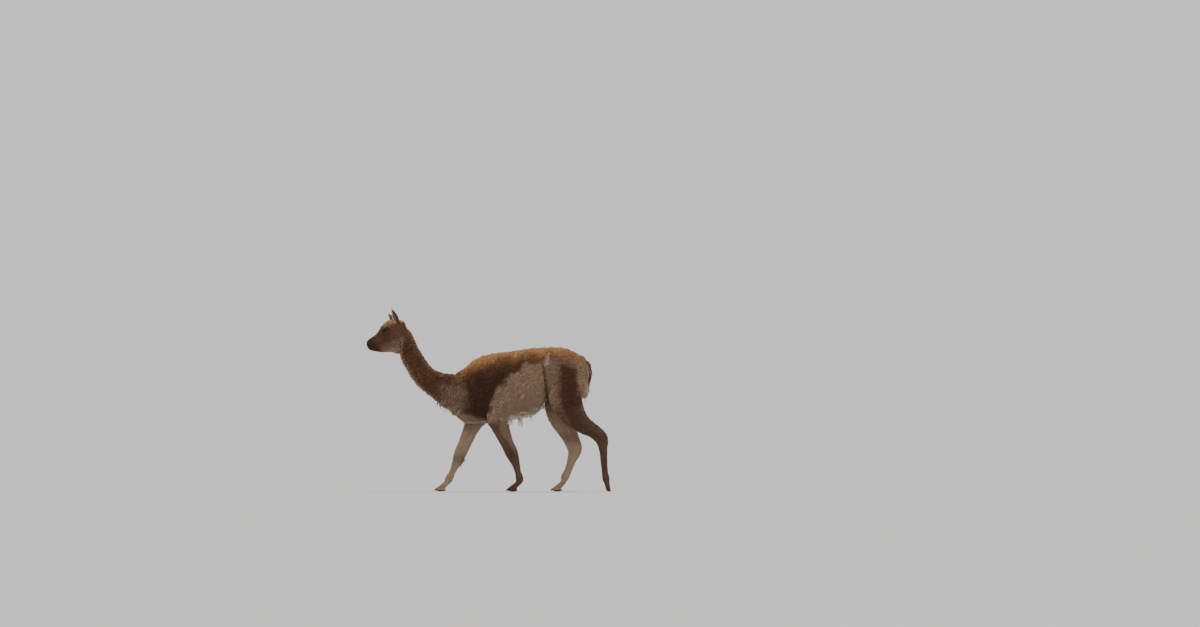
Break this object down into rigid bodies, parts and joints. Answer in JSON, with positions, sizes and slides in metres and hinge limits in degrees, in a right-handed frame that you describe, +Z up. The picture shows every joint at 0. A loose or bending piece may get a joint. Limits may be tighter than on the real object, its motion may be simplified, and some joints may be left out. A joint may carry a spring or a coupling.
{
  "type": "vicuna",
  "caption": "A slender wild camelid at a walk, life size and still, with a long raised neck, a fine pointed head turned slightly left and short dense fleece, split into named parts.",
  "frame": {"origin": "centre of the underside of the overall box, on the floor between the feet", "axes": "+Z up; the animal faces -Y; its left side is +X; its length runs along Y"},
  "size_m": [0.295, 1.4762, 1.1047],
  "materials": {
    "cinnamon_coat": "matt dense fleece",
    "pale_coat": "matt short hair",
    "eye": "wet gloss",
    "nail": "dull horn"
  },
  "bodies": {
    "root": {"head": "cinnamon_coat", "ear_left": "cinnamon_coat", "ear_right": "cinnamon_coat", "neck": "cinnamon_coat", "torso": "cinnamon_coat", "tail": "cinnamon_coat", "foreleg_left": "pale_coat", "foreleg_right": "pale_coat", "hindleg_left": "pale_coat", "hindleg_right": "pale_coat", "forefoot_left": "pale_coat", "forefoot_right": "pale_coat", "hindfoot_left": "pale_coat", "hindfoot_right": "pale_coat", "eye_left": "eye", "eye_right": "eye", "nail_forefoot_left_inner": "nail", "nail_forefoot_left_outer": "nail", "nail_forefoot_right_inner": "nail", "nail_forefoot_right_outer": "nail", "nail_hindfoot_left_inner": "nail", "nail_hindfoot_left_outer": "nail", "nail_hindfoot_right_inner": "nail", "nail_hindfoot_right_outer": "nail"}
  },
  "joints": []
}
